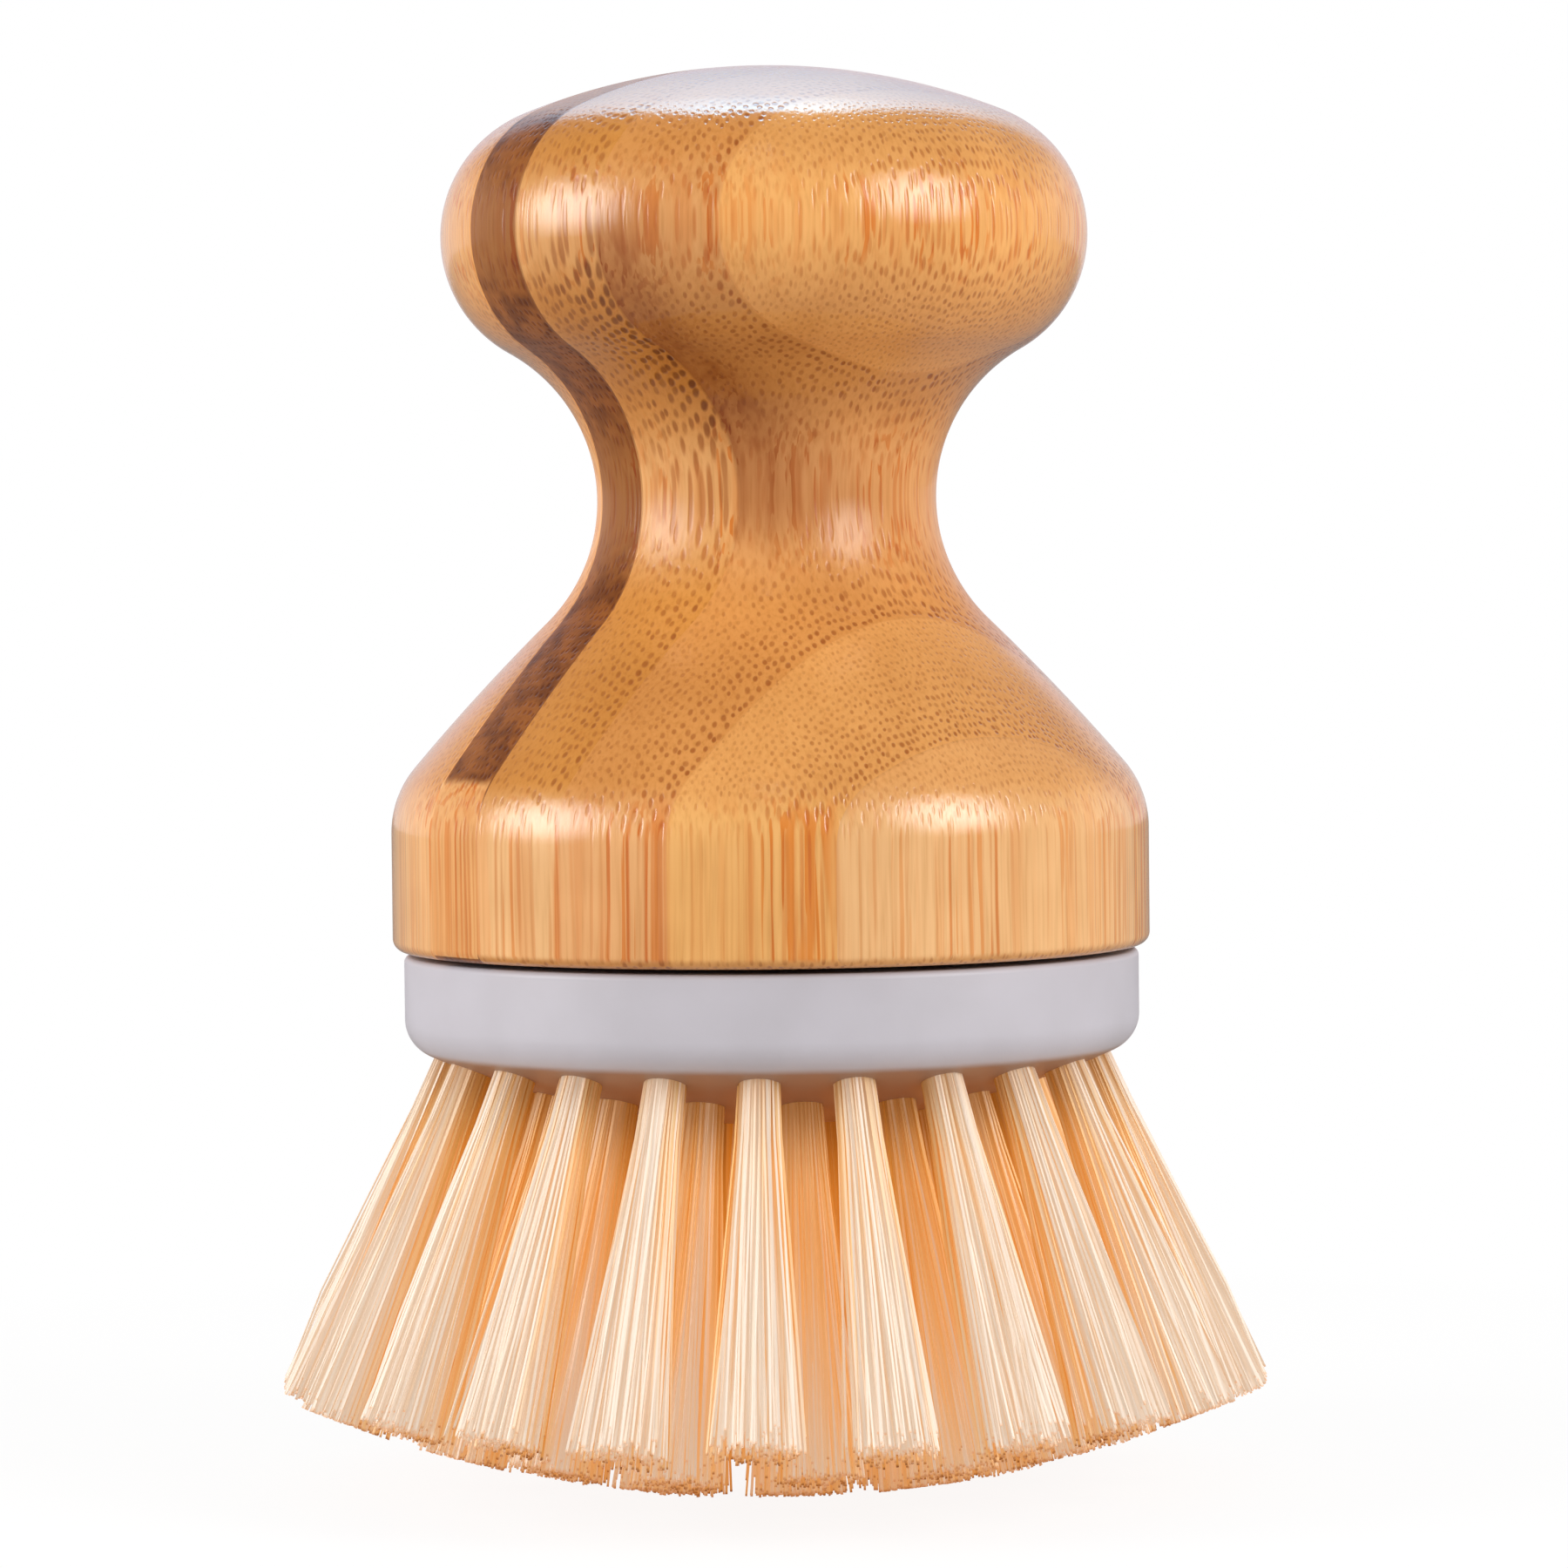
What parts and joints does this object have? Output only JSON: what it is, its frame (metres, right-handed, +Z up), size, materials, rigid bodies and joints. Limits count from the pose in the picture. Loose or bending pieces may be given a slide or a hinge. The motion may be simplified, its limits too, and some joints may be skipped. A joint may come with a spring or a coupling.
{
  "type": "pot brush",
  "caption": "Palm-held pot brush: a turned bamboo knob handle on a round plastic head of flaring bristle tufts that unscrews.",
  "frame": {"origin": "on the brush's axis, at the plane of the inner tufts' trimmed tips that it stands on", "axes": "+Z up the handle; -Y towards the side the picture shows"},
  "size_m": [0.0792, 0.0796, 0.1136],
  "materials": {
    "bamboo": "laminated bamboo, fine dots and streaks, clear satin lacquer",
    "brass": "turned, bright",
    "steel": "plain zinc-plated",
    "block_plastic": "pale lilac-grey, matte moulded",
    "bristle": "cream monofilament, trimmed"
  },
  "bodies": {
    "head": {"brush_block": "block_plastic", "head_bolt": "steel", "tuft_inner_01": "bristle", "tuft_inner_02": "bristle", "tuft_inner_03": "bristle", "tuft_inner_04": "bristle", "tuft_inner_05": "bristle", "tuft_inner_06": "bristle", "tuft_third_01": "bristle", "tuft_third_02": "bristle", "tuft_third_03": "bristle", "tuft_third_04": "bristle", "tuft_third_05": "bristle", "tuft_third_06": "bristle", "tuft_third_07": "bristle", "tuft_third_08": "bristle", "tuft_third_09": "bristle", "tuft_third_10": "bristle", "tuft_third_11": "bristle", "tuft_second_01": "bristle", "tuft_second_02": "bristle", "tuft_second_03": "bristle", "tuft_second_04": "bristle", "tuft_second_05": "bristle", "tuft_second_06": "bristle", "tuft_second_07": "bristle", "tuft_second_08": "bristle", "tuft_second_09": "bristle", "tuft_second_10": "bristle", "tuft_second_11": "bristle", "tuft_second_12": "bristle", "tuft_second_13": "bristle", "tuft_second_14": "bristle", "tuft_second_15": "bristle", "tuft_second_16": "bristle", "tuft_outer_01": "bristle", "tuft_outer_02": "bristle", "tuft_outer_03": "bristle", "tuft_outer_04": "bristle", "tuft_outer_05": "bristle", "tuft_outer_06": "bristle", "tuft_outer_07": "bristle", "tuft_outer_08": "bristle", "tuft_outer_09": "bristle", "tuft_outer_10": "bristle", "tuft_outer_11": "bristle", "tuft_outer_12": "bristle", "tuft_outer_13": "bristle", "tuft_outer_14": "bristle", "tuft_outer_15": "bristle", "tuft_outer_16": "bristle", "tuft_outer_17": "bristle", "tuft_outer_18": "bristle", "tuft_outer_19": "bristle", "tuft_outer_20": "bristle", "tuft_outer_21": "bristle", "tuft_outer_22": "bristle"},
    "insert": {"threaded_insert": "brass"},
    "handle": {"handle": "bamboo"}
  },
  "joints": [
    {"name": "screw_lift", "type": "slide", "parent": "head", "child": "insert", "axis": [0, 0, 1], "range_m": [0, 0.0113]},
    {"name": "screw_turn", "type": "hinge", "parent": "insert", "child": "handle", "pos_m": [0, 0, 0.0432], "axis": [0, 0, 1], "range_deg": [0, 3240]}
  ],
  "couplings": [
    {"joint": "screw_lift", "follows": "screw_turn", "m_per_rad": 0.00019894}
  ]
}
